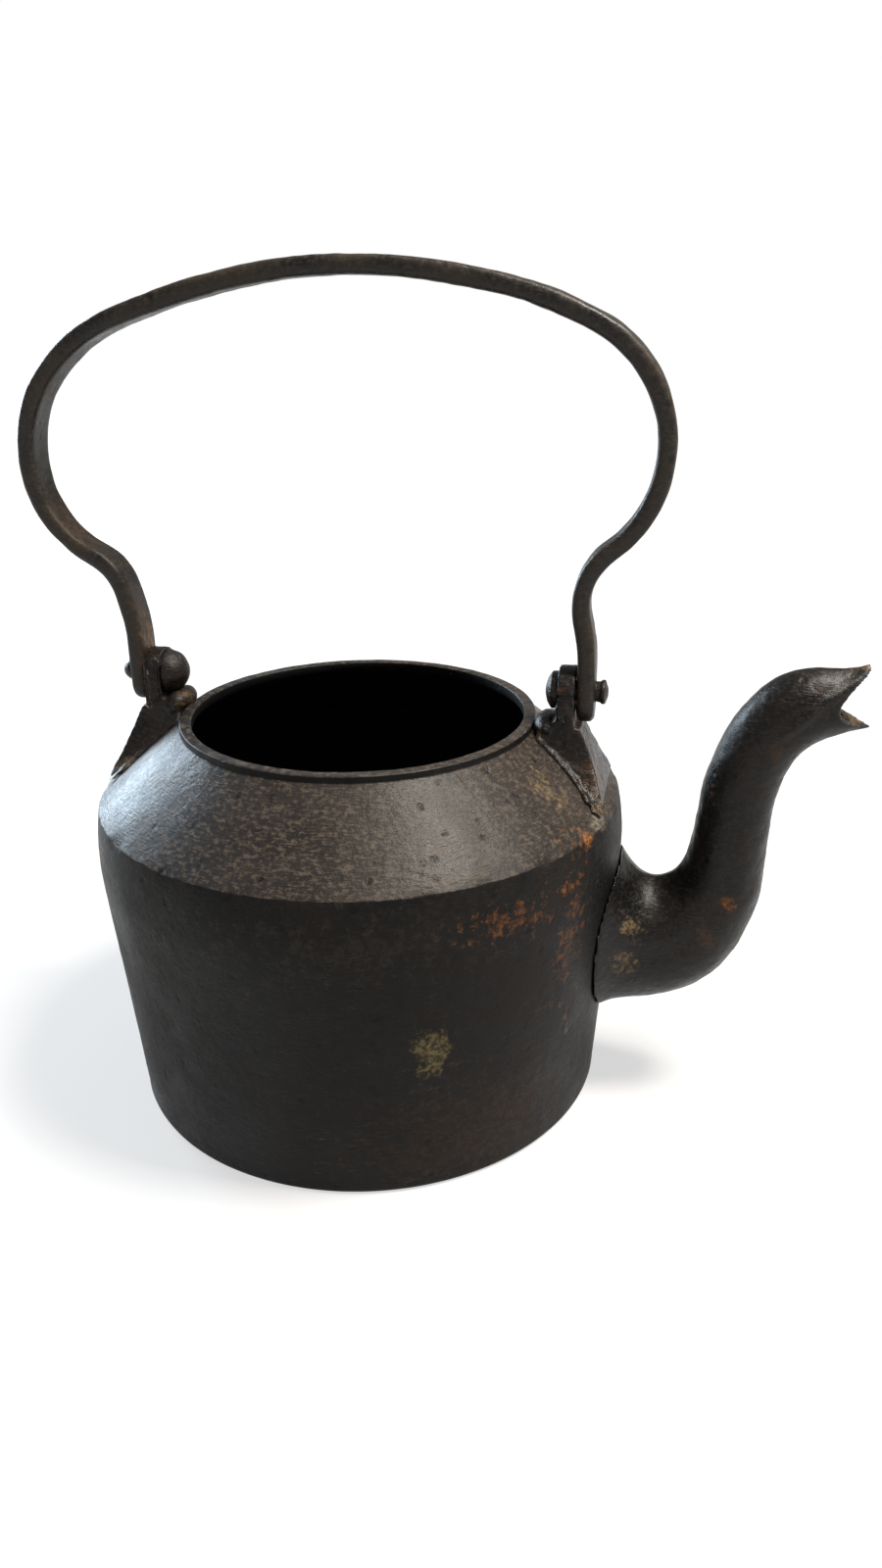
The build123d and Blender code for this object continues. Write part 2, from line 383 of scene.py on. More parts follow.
def object_place(tree):
    """Place on the object, in metres."""
    return add_node(tree, "TexCoord").outputs["Object"]


def object_noise(tree, place, scale, detail=4.0, rough=0.6, warp=0.0):
    """Noise output for a place on the object."""
    settings = {
        "Vector": place, "Scale": scale, "Detail": detail, "Roughness": rough, "Distortion": warp,
    }
    return add_node(tree, "TexNoise", settings).outputs["Fac"]


def stretched(tree, place, scale, turn=(0.0, 0.0, 0.0)):
    """Place scaled and turned, so that a pattern on it runs long in one direction."""
    settings = {"Vector": place, "Rotation": turn, "Scale": scale}
    return add_node(tree, "Mapping", settings).outputs["Vector"]


def new_group(name, inputs, outputs):
    """Empty shader group with named sockets; returns its tree and its two end nodes."""
    tree = bpy.data.node_groups.new(name, "ShaderNodeTree")
    for label, kind, value in inputs:
        socket = tree.interface.new_socket(label, in_out="INPUT", socket_type=kind)
        socket.default_value = value
    for label, kind in outputs:
        tree.interface.new_socket(label, in_out="OUTPUT", socket_type=kind)
    return tree, tree.nodes.new("NodeGroupInput"), tree.nodes.new("NodeGroupOutput")


FLOAT = "NodeSocketFloat"
VECTOR = "NodeSocketVector"


def sand_grain_group():
    """Sand-cast skin: fine grain, pits and horizontal striations."""
    tree, given, result = new_group(
        "sand_grain",
        [("Grain per metre", FLOAT, 650.0), ("Pit depth", FLOAT, 0.5), ("Striation", FLOAT, 0.4)],
        [("Height", FLOAT), ("Speckle", FLOAT), ("Pits", FLOAT)],
    )
    place = object_place(tree)
    fine_scale = given.outputs["Grain per metre"]
    coarse_scale = times(tree, fine_scale, 0.28)
    grain = object_noise(tree, place, fine_scale, 5.0, 0.65)
    coarse = object_noise(tree, place, coarse_scale, 5.0, 0.62)
    streaks = object_noise(tree, stretched(tree, place, (1.0, 1.0, 9.0)), 300.0, 3.0)

    cell_settings = {"Vector": place, "Scale": coarse_scale, "Smoothness": 0.6, "Randomness": 1.0}
    cells = add_node(tree, "TexVoronoi", cell_settings, feature="SMOOTH_F1").outputs["Distance"]
    patchy = between(tree, coarse, 0.45, 0.62)
    pits = times(tree, between(tree, cells, 0.10, 0.34, 1.0, 0.0), patchy)

    height = times(tree, plus(tree, grain, coarse), 0.5)
    height = minus(tree, height, times(tree, pits, given.outputs["Pit depth"]))
    height = plus(tree, height, times(tree, streaks, given.outputs["Striation"]))
    mixed = plus(tree, times(tree, grain, 0.6), times(tree, streaks, 0.4))
    tree.links.new(height, result.inputs["Height"])
    tree.links.new(between(tree, mixed, 0.47, 0.62), result.inputs["Speckle"])
    tree.links.new(pits, result.inputs["Pits"])
    return tree


def rust_group():
    """Ragged rust blooms with small specks round them."""
    tree, given, result = new_group(
        "rust_bloom",
        [("Coverage", FLOAT, 0.3), ("Blooms per metre", FLOAT, 45.0)],
        [("Mask", FLOAT), ("Shade", FLOAT)],
    )
    place = object_place(tree)
    bloom = object_noise(tree, place, given.outputs["Blooms per metre"], 7.0, 0.68, 0.4)
    specks = object_noise(tree, place, 420.0, 3.0)
    mixed = plus(tree, times(tree, bloom, 0.72), times(tree, specks, 0.28))
    level = minus(tree, 0.78, times(tree, given.outputs["Coverage"], 0.4))
    tree.links.new(between(tree, minus(tree, mixed, level), 0.0, 0.05), result.inputs["Mask"])
    tree.links.new(object_noise(tree, place, 260.0), result.inputs["Shade"])
    return tree


def wear_group():
    """Edges rubbed bright, and hollows that hold dust."""
    tree, given, result = new_group(
        "edge_wear",
        [("Edge", FLOAT, 1.0), ("Hollow", FLOAT, 1.0)],
        [("Worn", FLOAT), ("Dust", FLOAT)],
    )
    bend = add_node(tree, "NewGeometry").outputs["Pointiness"]
    broken = between(tree, object_noise(tree, object_place(tree), 180.0, 5.0), 0.35, 0.62)
    worn = times(tree, between(tree, bend, 0.52, 0.58), broken)
    dust = times(tree, between(tree, bend, 0.49, 0.44), broken)
    tree.links.new(times(tree, worn, given.outputs["Edge"], True), result.inputs["Worn"])
    tree.links.new(times(tree, dust, given.outputs["Hollow"], True), result.inputs["Dust"])
    return tree


def spot_group():
    """Ragged spot at a place on the object."""
    tree, given, result = new_group(
        "ragged_spot",
        [
            ("Centre", VECTOR, (0, 0, 0)),
            ("Reach", VECTOR, (0.01, 0.01, 0.01)),
            ("Raggedness", FLOAT, 0.8),
            ("Strength", FLOAT, 1.0),
        ],
        [("Mask", FLOAT)],
    )
    place = object_place(tree)
    away = vector_calc(tree, "SUBTRACT", place, given.outputs["Centre"])
    away = vector_calc(tree, "DIVIDE", away, given.outputs["Reach"])
    distance = vector_calc(tree, "LENGTH", away, output="Value")
    ragged = times(tree, minus(tree, object_noise(tree, place, 260.0, 6.0, 0.7), 0.5), 4.0)
    ragged = times(tree, ragged, given.outputs["Raggedness"])
    body = between(tree, plus(tree, distance, ragged), 1.0, 0.3)
    broken = between(tree, object_noise(tree, place, 620.0, 4.0, 0.7), 0.42, 0.62, 0.15, 1.0)
    mask = times(tree, times(tree, body, broken), given.outputs["Strength"])
    tree.links.new(mask, result.inputs["Mask"])
    return tree


def scratch_group():
    """Thin crossed scratches."""
    tree, given, result = new_group("scratches", [("Strength", FLOAT, 0.5)], [("Mask", FLOAT)])
    place = object_place(tree)
    layers = []
    for turn, gates_per_metre in (((0.0, 0.35, 0.0), 46.0), ((0.0, 1.25, 0.9), 33.0)):
        long = stretched(tree, place, (0.35, 0.35, 5.0), turn)
        lines = object_noise(tree, long, gates_per_metre * 3, 2.0, 0.5, 0.6)
        thin = between(tree, calc(tree, "ABSOLUTE", minus(tree, lines, 0.5)), 0.004, 0.0)
        gate = between(tree, object_noise(tree, place, gates_per_metre, 2.0), 0.55, 0.66)
        layers.append(times(tree, thin, gate))
    both = calc(tree, "MAXIMUM", *layers)
    tree.links.new(times(tree, both, given.outputs["Strength"]), result.inputs["Mask"])
    return tree


# Shared groups by name, filled when the first material is made
GROUPS = {}


def use_group(tree, name, **values):
    """Places a shared group in a material with its own values."""
    if not GROUPS:
        for made in (sand_grain_group(), rust_group(), wear_group(), spot_group(), scratch_group()):
            GROUPS[made.name] = made
    item = tree.nodes.new("ShaderNodeGroup")
    item.node_tree = GROUPS[name]
    for key, value in values.items():
        item.inputs[key.replace("_", " ")].default_value = value
    return item.outputs


def rgba(colour, gain=1.0):
    """Opaque colour, made lighter or darker by a gain."""
    return (colour[0] * gain, colour[1] * gain, colour[2] * gain, 1.0)


def shoulder_mask(tree, coords):
    """1 on the pot's shoulder, which faces up, and 0 on its wall."""
    facing = add_node(tree, "SeparateXYZ", {0: coords["Normal"]}).outputs
    return between(tree, facing["Z"], 0.3, 0.6)


def shoulder_skin(tree, coords, cloud, light):
    """Colour of the pot's shoulder, with a painted blue-grey sheen on the side away from the spout.
    """
    colours = bpy.context.scene.kettle_colours
    across = add_node(tree, "SeparateXYZ", {0: coords["Object"]}).outputs["X"]
    # Painted sheen: the shoulder's side away from the spout is painted blue-grey
    clear_of_sheen = between(tree, across, -0.075, 0.03)
    skin = blend_colour(tree, clear_of_sheen, rgba(colours.painted_blue_sheen), rgba(colours.shoulder_skin))
    return blend_colour(tree, between(tree, cloud, 0.38, 0.62, 0.0, 0.6), skin, light)


def inside_mask(tree, coords):
    """1 inside the pot, where the surface faces its axis and is painted black as shade."""
    outward = vector_calc(tree, "DOT_PRODUCT", coords["Normal"], coords["Object"], "Value")
    return between(tree, outward, 0.012, 0.002)


# Strength of the pits' colour, and gains of the colours in pits and scratches
PIT_STRENGTH = 0.8
PIT_GAIN = 0.5
SCRATCH_GAIN = 1.5
# How much each adds to the roughness, or takes from it
RUST_ROUGH = 0.25
INSIDE_ROUGH = 0.25
SPECKLE_ROUGH = 0.12
WORN_SMOOTH = 0.15
SHOULDER_SMOOTH = 0.12
# Speckle on the pot's wall, and strength of every bump
WALL_SPECKLE = 0.10
BUMP_STRENGTH = 0.8


def iron_material(name, look, spots=(), pot=False):
    """Worn black iron with its own grain, rust, dust, wear and spots; on the pot, also a painted
    blue sheen on the shoulder and painted shade inside.
    """
    colours = bpy.context.scene.kettle_colours
    material = bpy.data.materials.new(name)
    material.use_nodes = True
    tree = material.node_tree
    shader = tree.nodes["Principled BSDF"]
    coords = add_node(tree, "TexCoord").outputs
    dark, light, flecks = look["dark"], look["light"], look["flecks"]

    grain = use_group(
        tree, "sand_grain",
        Grain_per_metre=look["grain"], Pit_depth=look["pits"], Striation=look["striation"],
    )
    rust = use_group(tree, "rust_bloom", Coverage=look["rust"], Blooms_per_metre=look["blooms"])
    wear = use_group(tree, "edge_wear", Edge=look["edge"], Hollow=look["hollow"])
    scratches = use_group(tree, "scratches", Strength=look["scratch"])["Mask"]
    cloud = object_noise(tree, coords["Object"], look["cloud"], 5.0, 0.6, 0.3)

    colour = blend_colour(tree, between(tree, cloud, 0.35, 0.68), rgba(dark), rgba(light))
    roughness = between(tree, cloud, 0.3, 0.7, *look["gloss"])
    speckle_amount = look["speckle"]
    if pot:
        shoulder = shoulder_mask(tree, coords)
        # The shoulder's colour includes a painted blue sheen on the side away from the spout
        skin = shoulder_skin(tree, coords, cloud, rgba(light))
        colour = blend_colour(tree, shoulder, colour, skin)
        speckle_amount = between(tree, shoulder, 0.0, 1.0, WALL_SPECKLE, look["speckle"])
        roughness = minus(tree, roughness, times(tree, shoulder, SHOULDER_SMOOTH))

    deep, bright = rgba(colours.rust_deep), rgba(colours.rust_bright)
    rust_colour = blend_colour(tree, rust["Shade"], deep, bright)
    layers = [
        (times(tree, grain["Speckle"], speckle_amount), rgba(flecks)),
        (times(tree, grain["Pits"], PIT_STRENGTH), rgba(dark, PIT_GAIN)),
        (scratches, rgba(flecks, SCRATCH_GAIN)),
        (wear["Worn"], rgba(colours.rubbed)),
        (times(tree, rust["Mask"], look["rust_strength"]), rust_colour),
        (times(tree, wear["Dust"], look["dusty"]), rgba(colours.dust)),
    ]
    for centre, reach, raggedness, tint, strength in spots:
        spot = use_group(
            tree, "ragged_spot",
            Centre=[v * MM for v in centre], Reach=[v * MM for v in reach],
            Raggedness=raggedness, Strength=strength,
        )
        layers.append((spot["Mask"], rgba(tint)))
    roughness = plus(tree, roughness, times(tree, rust["Mask"], RUST_ROUGH), True)
    if pot:
        # Painted shade: the inside of the pot is painted plain black over all its marks
        inside = inside_mask(tree, coords)
        layers.append((inside, rgba(colours.painted_inside_shade)))
        roughness = plus(tree, roughness, times(tree, inside, INSIDE_ROUGH), True)
    for mask, over in layers:
        colour = blend_colour(tree, mask, colour, over)
    speckled = times(tree, minus(tree, grain["Speckle"], 0.5), SPECKLE_ROUGH)
    roughness = plus(tree, roughness, speckled, True)
    roughness = minus(tree, roughness, times(tree, wear["Worn"], WORN_SMOOTH), True)

    relief = {"Height": grain["Height"], "Distance": look["relief"] * MM, "Strength": BUMP_STRENGTH}
    tree.links.new(colour, shader.inputs["Base Color"])
    tree.links.new(roughness, shader.inputs["Roughness"])
    tree.links.new(add_node(tree, "Bump", relief).outputs["Normal"], shader.inputs["Normal"])
    shader.inputs["Metallic"].default_value = look["metallic"]
    shader.inputs["Specular IOR Level"].default_value = look["specular"]
    return material


# Looks of the irons. Grain, blooms and cloud are counts per metre, relief is in millimetres, gloss
# is the roughness from the clearest to the dullest patch, and the rest are strengths and colours
PLAIN = {
    "dark": (0.0055, 0.005, 0.005), "light": (0.017, 0.0135, 0.011),
    "flecks": (0.085, 0.068, 0.052), "grain": 650.0, "pits": 0.5, "striation": 0.35,
    "speckle": 0.35, "cloud": 26.0,
    "gloss": (0.5, 0.66), "rust": 0.34, "blooms": 45.0, "rust_strength": 0.7, "edge": 0.8,
    "hollow": 1.0, "dusty": 0.6, "scratch": 0.5, "relief": 0.5, "metallic": 0.0, "specular": 0.3,
}
POT_LOOK = {
    **PLAIN, "dark": (0.0035, 0.0033, 0.0035), "light": (0.0105, 0.0085, 0.0075), "grain": 560.0,
    "speckle": 0.9, "gloss": (0.46, 0.64), "rust": 0.16, "blooms": 34.0, "scratch": 0.7,
    "specular": 0.15,
}
SPOUT_LOOK = {
    **PLAIN, "dark": (0.004, 0.004, 0.0045), "light": (0.014, 0.0105, 0.0085), "speckle": 0.2,
    "gloss": (0.3, 0.5), "rust": 0.36, "specular": 0.22,
}
LUG_LOOK = {
    **PLAIN, "dark": (0.0045, 0.0045, 0.005), "light": (0.016, 0.012, 0.01), "grain": 800.0,
    "speckle": 0.2, "gloss": (0.26, 0.46), "rust": 0.4, "specular": 0.25,
}
BAIL_LOOK = {
    **PLAIN, "dark": (0.012, 0.0105, 0.0095), "light": (0.036, 0.027, 0.019), "striation": 0.1,
    "speckle": 0.45, "cloud": 40.0, "gloss": (0.38, 0.58), "rust": 0.42, "edge": 1.0,
    "relief": 0.35,
}
RIVET_LOOK = {
    **PLAIN, "dark": (0.006, 0.0055, 0.0055), "light": (0.022, 0.016, 0.012), "grain": 900.0,
    "speckle": 0.2, "gloss": (0.3, 0.5), "rust": 0.42,
}

# Colours of the marks
TAN = (0.28, 0.19, 0.095)
OCHRE = (0.30, 0.23, 0.10)
ORANGE = (0.36, 0.13, 0.03)
RUSSET = (0.20, 0.10, 0.035)
DEEP_RUSSET = (0.20, 0.09, 0.03)
PALE = (0.30, 0.27, 0.22)
LIGHT_BROWN = (0.16, 0.10, 0.05)
DULL_BROWN = (0.10, 0.06, 0.03)
BROWN = (0.07, 0.035, 0.016)
HAZE = (0.030, 0.027, 0.024)
WARM_HAZE = (0.05, 0.04, 0.03)
BLACK = (0.004, 0.004, 0.004)

# Marks on each iron: centre and reach in millimetres, raggedness, colour and strength
POT_SPOTS = [
    ((43.5, -84.3, 58.6), (7.0, 7.0, 11.0), 0.9, OCHRE, 0.75),
    ((-20.0, -88.0, 75.0), (60.0, 30.0, 30.0), 2.4, HAZE, 0.28),
    ((20.0, -92.0, 100.0), (50.0, 20.0, 9.0), 2.4, WARM_HAZE, 0.35),
    ((42.0, -86.0, 57.5), (1.6, 3.0, 2.6), 0.3, BLACK, 0.95),
    ((66.0, -66.0, 103.0), (15.0, 15.0, 5.0), 2.4, ORANGE, 0.34),
    ((82.0, -46.0, 90.0), (5.0, 6.0, 24.0), 2.6, ORANGE, 0.32),
    ((55.0, -70.0, 20.0), (40.0, 40.0, 26.0), 1.2, BROWN, 0.4),
    ((-78.0, -55.0, 106.0), (8.0, 8.0, 8.0), 1.1, TAN, 0.55),
    ((88.0, -38.0, 117.0), (4.0, 5.0, 4.0), 0.7, ORANGE, 0.8),
    ((90.0, -26.0, 118.0), (4.0, 6.0, 5.0), 0.7, PALE, 0.5),
    ((74.0, -30.0, 130.0), (16.0, 6.0, 9.0), 1.4, TAN, 0.45),
    ((-70.0, -26.0, 132.0), (16.0, 6.0, 9.0), 1.4, TAN, 0.35),
    ((85.0, -44.0, 45.0), (3.0, 4.0, 5.0), 0.6, PALE, 0.45),
]
SPOUT_SPOTS = [
    ((104.0, -20.0, 76.0), (6.0, 6.0, 7.0), 1.1, TAN, 0.6),
    ((102.0, -21.0, 60.0), (6.0, 6.0, 6.0), 1.1, TAN, 0.5),
    ((136.0, -13.0, 84.0), (4.0, 4.0, 4.0), 0.8, ORANGE, 0.6),
    ((130.0, -15.0, 70.0), (5.0, 5.0, 5.0), 0.9, BROWN, 0.8),
    ((148.0, -12.0, 143.0), (5.0, 4.0, 5.0), 0.9, BROWN, 0.8),
    ((173.0, 0.0, 153.0), (8.0, 6.0, 4.0), 1.0, TAN, 0.6),
    ((176.0, 0.0, 170.0), (6.0, 5.0, 3.0), 1.0, TAN, 0.5),
]
LUG_SPOTS = [
    ((80.0, 0.0, 147.0), (4.0, 9.0, 7.0), 0.8, ORANGE, 0.85),
    ((88.0, -14.0, 128.0), (8.0, 14.0, 9.0), 1.2, BROWN, 0.8),
    ((68.0, -8.0, 143.0), (4.0, 5.0, 3.0), 0.9, TAN, 0.7),
    ((90.0, -22.0, 121.0), (5.0, 6.0, 3.0), 0.9, TAN, 0.6),
    ((-67.0, 0.0, 146.0), (4.0, 10.0, 5.0), 0.9, LIGHT_BROWN, 0.75),
    ((-80.0, -4.0, 146.0), (4.0, 9.0, 6.0), 0.9, ORANGE, 0.4),
    ((-82.0, -22.0, 125.0), (9.0, 9.0, 4.0), 0.9, TAN, 0.4),
]
BAIL_SPOTS = [
    ((79.0, 0.0, 158.0), (4.0, 8.0, 14.0), 1.0, DEEP_RUSSET, 0.7),
    ((-79.5, 0.0, 166.0), (4.0, 8.0, 16.0), 1.0, RUSSET, 0.7),
    ((-104.0, 0.0, 205.0), (10.0, 9.0, 24.0), 1.2, DULL_BROWN, 0.6),
]


class KettleForm(bpy.types.PropertyGroup):
    """How uneven the castings and the forging are."""

    casting_wave: FloatProperty(
        name="Casting wave", description="Slow unevenness of the cast walls",
        default=0.00035, unit="LENGTH",
    )
    casting_skin: FloatProperty(
        name="Casting skin", description="Fine unevenness of the cast skin",
        default=0.00012, unit="LENGTH",
    )
    hammer_marks: FloatProperty(
        name="Hammer marks", description="Depth of the forging marks on the bail",
        default=0.0003, unit="LENGTH",
    )
    ridge_chips: FloatProperty(
        name="Ridge chips", description="Depth of the wear along the shoulder ridge",
        default=0.0005, unit="LENGTH",
    )
    seam_radius: FloatProperty(
        name="Seam radius", description="Radius of the bead round the foot of a lug",
        default=0.0012, unit="LENGTH",
    )
    pot_steps: IntProperty(
        name="Steps round the pot", description="Faces round the pot", default=320,
    )


class KettleColours(bpy.types.PropertyGroup):
    """Colours of the iron's skin, with the painted blue sheen on the shoulder and the painted shade
    inside the pot.
    """

    shoulder_skin: FloatVectorProperty(
        name="Shoulder", description="Grey-brown skin of the shoulder",
        default=(0.034, 0.028, 0.024), subtype="COLOR",
    )
    # Painted blue-grey sheen on the shoulder's side away from the spout
    painted_blue_sheen: FloatVectorProperty(
        name="Painted blue sheen", description="Painted blue-grey sheen on the side away from the spout",
        default=(0.017, 0.021, 0.027), subtype="COLOR",
    )
    rubbed: FloatVectorProperty(
        name="Rubbed edges", description="Bright iron of worn edges",
        default=(0.11, 0.115, 0.125), subtype="COLOR",
    )
    rust_deep: FloatVectorProperty(
        name="Deep rust", description="Dark rust",
        default=(0.045, 0.018, 0.008), subtype="COLOR",
    )
    rust_bright: FloatVectorProperty(
        name="Bright rust", description="Fresh rust",
        default=(0.24, 0.09, 0.025), subtype="COLOR",
    )
    dust: FloatVectorProperty(
        name="Dust", description="Tan dust in the hollows",
        default=(0.12, 0.085, 0.055), subtype="COLOR",
    )
    # Painted shade: plain black inside the pot
    painted_inside_shade: FloatVectorProperty(
        name="Inside", description="Black inside of the pot",
        default=(0.004, 0.004, 0.0045), subtype="COLOR",
    )


class KettleStudio(bpy.types.PropertyGroup):
    """Light on the kettle."""

    key_power: FloatProperty(
        name="Key light", description="Power of the soft light overhead",
        default=30.0, unit="POWER",
    )
    side_power: FloatProperty(
        name="Side light", description="Power of the soft light at the left",
        default=20.0, unit="POWER",
    )
    fill: FloatProperty(
        name="Fill", description="Strength of the even light all round", default=0.3,
    )


class KETTLE_OT_pot(bpy.types.Operator):
    """Makes the pot as one hollow casting"""

    bl_idname = "kettle.pot"
    bl_label = "Pot"

    # Distance from the ridge that chips reach, and height over which the flat base turns uneven
    chip_reach = 3.0
    flat_height = 4.0

    def execute(self, context):
        form = context.scene.kettle_form
        pot = piece_from(revolved(pot_outline(), form.pot_steps), "pot_casting")
        cutter = piece_from(water_way(), "water_way")
        hole = pot.modifiers.new("hole", "BOOLEAN")
        hole.object = cutter
        hole.operation = "DIFFERENCE"
        hole.solver = "EXACT"
        settle(pot)
        bpy.data.objects.remove(cutter)

        wave, skin, chips = form.casting_wave / MM, form.casting_skin / MM, form.ridge_chips / MM

        def shift(point, normal):
            from_ridge = hypot(hypot(point.x, point.y) - RIDGE[0], point.z - RIDGE[1])
            near_ridge = max(0.0, 1 - from_ridge / self.chip_reach)
            off_base = limited(point.z / self.flat_height)
            amount = -wave * (0.5 + 0.5 * uneven(point, 30)) - skin * (1 + uneven(point, 5, 3.0))
            amount -= chips * near_ridge * max(0.0, uneven(point, 9, 7.0)) * 2
            return normal * amount * off_base

        move_points(pot, shift)
        material = iron_material("pot_iron", POT_LOOK, POT_SPOTS, pot=True)
        finish_piece(pot, material, "pot", "pot_iron", "kettle_body")
        return {"FINISHED"}


class KETTLE_OT_spout(bpy.types.Operator):
    """Makes the spout with its open beak"""

    bl_idname = "kettle.spout"
    bl_label = "Spout"

    # Line of the crease along each side of the head, seen from the side, its height and half-width
    crease = [Vector((176.0, 0, 168.5)), Vector((163.0, 0, 160.5)), Vector((150.5, 0, 149.0))]
    crease_height = 0.9
    crease_width = 2.6
    # Distance that the skin keeps inside the solid, and how far a face turns sideways to be a side
    inset = 0.1
    side_facing = 0.3

    def from_crease(self, point):
        """Distance of a point from the crease, seen from the side."""
        flat = Vector((point.x, 0, point.z))
        distances = []
        for first, second in zip(self.crease, self.crease[1:]):
            run = second - first
            along = limited((flat - first).dot(run) / run.length_squared)
            distances.append((flat - first - run * along).length)
        return min(distances)

    def execute(self, context):
        form = context.scene.kettle_form
        spout = recast("spout_casting", "spout", voxel=0.75, softening=4)
        wave, skin = form.casting_wave / MM, form.casting_skin / MM

        def shift(point, normal):
            outer = abs(normal.y) > self.side_facing and normal.y * point.y > 0
            near = max(0.0, 1 - self.from_crease(point) / self.crease_width)
            raised = self.crease_height * near if outer else 0.0
            lumpy = wave * (uneven(point, 16) + 0.5 * uneven(point, 7, 2.0))
            lumpy += skin * uneven(point, 3, 5.0)
            return normal * (lumpy - self.inset + raised)

        move_points(spout, shift)
        material = iron_material("spout_iron", SPOUT_LOOK, SPOUT_SPOTS)
        finish_piece(spout, material, "pot", "spout_iron", "spout")
        return {"FINISHED"}


class KETTLE_OT_lugs(bpy.types.Operator):
    """Makes the two lugs with the seam round each foot"""

    bl_idname = "kettle.lugs"
    bl_label = "Lugs"

    # Half-width of the foot where its flare starts, the flare's radius and its drop under the pins
    neck = 8.2
    flare_r = 28.5
    flare_drop = 9.5
    # The seam's start, the distance between its points, their number, and how its bead swells
    seam_start = COLLAR_R + 1.8
    seam_step = 1.3
    seam_points = 16
    seam_swell = 0.25
    # Web between each lug and the rim: distance out, height and radii
    web_x = COLLAR_R + 4.8
    web_z = RIM_Z - 1.1
    web_radii = (5.0, 9.6, 4.4)
    # Other lumps of each lug, as centre and radii
    front_lumps = [((75.4, -8.2, PIN_Z - 4.8), (2.6, 1.4, 3.0))]
    rear_lumps = [
        ((-COLLAR_R - 4.2, 0.0, RIM_Z + 0.9), (5.6, 9.0, 4.4)),
        ((-75.8, -7.4, PIN_Z + 4.8), (3.6, 3.2, 3.4)),
        ((-76.4, -8.2, PIN_Z - 2.2), (3.3, 3.2, 3.4)),
    ]
    # The foot beyond foot_y is pressed down to toe_height at toe_y, and higher nearer the middle
    foot_y = 9.3
    toe_y = 21.0
    toe_height = 1.3
    toe_rise = 1.1
    pressing = 0.9
    # Groove across the front lug's near side, level with the pin
    groove_depth = 0.5
    groove_width = 1.1
    groove_y = -4.0
    # Distance that the skin keeps inside the solid, and gain of the lugs' rougher skin
    inset = 0.05
    skin_gain = 1.4

    def foot_edge(self, x):
        """Half-width of the lug and height of the shoulder at a distance out from the axis."""
        half = 10.0
        for _ in range(12):
            z = shoulder_z(hypot(x, half))
            drop = min(PIN_Z - z - self.flare_drop, self.flare_r * 0.99)
            half = self.neck + self.flare_r - sqrt(self.flare_r**2 - max(drop, 0.0)**2)
        return half, z

    def add_seam(self, shape, side, bead):
        """Adds the bead along both edges of a lug's foot."""
        radii = [bead * (1 + self.seam_swell * sin(1.9 * k)) for k in range(self.seam_points)]
        for y_side in (-1, 1):
            path = []
            for k in range(self.seam_points):
                x = self.seam_start + self.seam_step * k
                half, z = self.foot_edge(x)
                path.append(Vector((side * x, y_side * half, z)))
            tube(shape, path, radii)

    def execute(self, context):
        form = context.scene.kettle_form
        bead, skin = form.seam_radius / MM, form.casting_skin / MM
        material = iron_material("lug_iron", LUG_LOOK, LUG_SPOTS)
        for name, node, side, lumps in (
            ("front_lug_casting", "front_lug", 1, self.front_lumps),
            ("rear_lug_casting", "rear_lug", -1, self.rear_lumps),
        ):

            def additions(shape):
                self.add_seam(shape, side, bead)
                lump(shape, (side * self.web_x, 0, self.web_z), self.web_radii)
                for centre, radii in lumps:
                    lump(shape, centre, radii)

            def shift(point, normal):
                height = point.z - shoulder_z(hypot(point.x, point.y))
                spread = abs(point.y)
                allowed = self.toe_height + self.toe_rise * max(0.0, self.toe_y - spread)
                if spread > self.foot_y and height > allowed:
                    return Vector((0, 0, -(height - allowed) * self.pressing))
                groove = 0.0
                if side > 0 and point.y < self.groove_y:
                    level = max(0.0, 1 - abs(point.z - PIN_Z) / self.groove_width)
                    groove = -self.groove_depth * level
                rough = skin * (uneven(point, 5) + uneven(point, 2, 4.0)) * self.skin_gain
                return normal * (groove + rough - self.inset)

            lug = recast(name, node, voxel=0.5, softening=9, additions=additions)
            move_points(lug, shift)
            finish_piece(lug, material, "pot", "lug_iron", node)
        return {"FINISHED"}


class KETTLE_OT_bail(bpy.types.Operator):
    """Makes the forged bail"""

    bl_idname = "kettle.bail"
    bl_label = "Bail"

    # Height over the pins up to which the eyes stay true, and height over which the marks set in
    eye_height = 8.0
    blend_height = 10.0
    # Distance that the skin keeps inside the solid
    inset = 0.05

    def execute(self, context):
        marks = context.scene.kettle_form.hammer_marks / MM
        bail = recast("bail_forging", "handle", voxel=0.75, softening=3)

        def shift(point, normal):
            free = limited((point.z - PIN_Z - self.eye_height) / self.blend_height)
            dent = uneven(point, 14) + 0.5 * uneven(point, 5, 6.0)
            return normal * (marks * dent * free - self.inset)

        move_points(bail, shift)
        material = iron_material("bail_iron", BAIL_LOOK, BAIL_SPOTS)
        finish_piece(bail, material, "bail", "bail_iron", "handle")
        return {"FINISHED"}


class KETTLE_OT_rivets(bpy.types.Operator):
    """Makes the two rivets"""

    bl_idname = "kettle.rivets"
    bl_label = "Rivets"

    # The shank stays true: only points beyond this radius, or this far out, are uneven
    shank_r = 3.9
    outer_end_x = 87.0
    head_wave = 0.22
    # Distance that the skin keeps inside the solid
    inset = 0.03

    def execute(self, context):
        material = iron_material("rivet_iron", RIVET_LOOK)

        def shift(point, normal):
            off_shank = hypot(point.y, point.z - PIN_Z) > self.shank_r
            wave = self.head_wave if off_shank or abs(point.x) > self.outer_end_x else 0.0
            return normal * (wave * uneven(point, 3.5) - self.inset)

        for name, node in (
            ("front_rivet_forging", "front_rivet"),
            ("rear_rivet_forging", "rear_rivet"),
        ):
            rivet = recast(name, node, voxel=0.35, softening=3)
            move_points(rivet, shift)
            finish_piece(rivet, material, "pot", "rivet_iron", node)
        return {"FINISHED"}


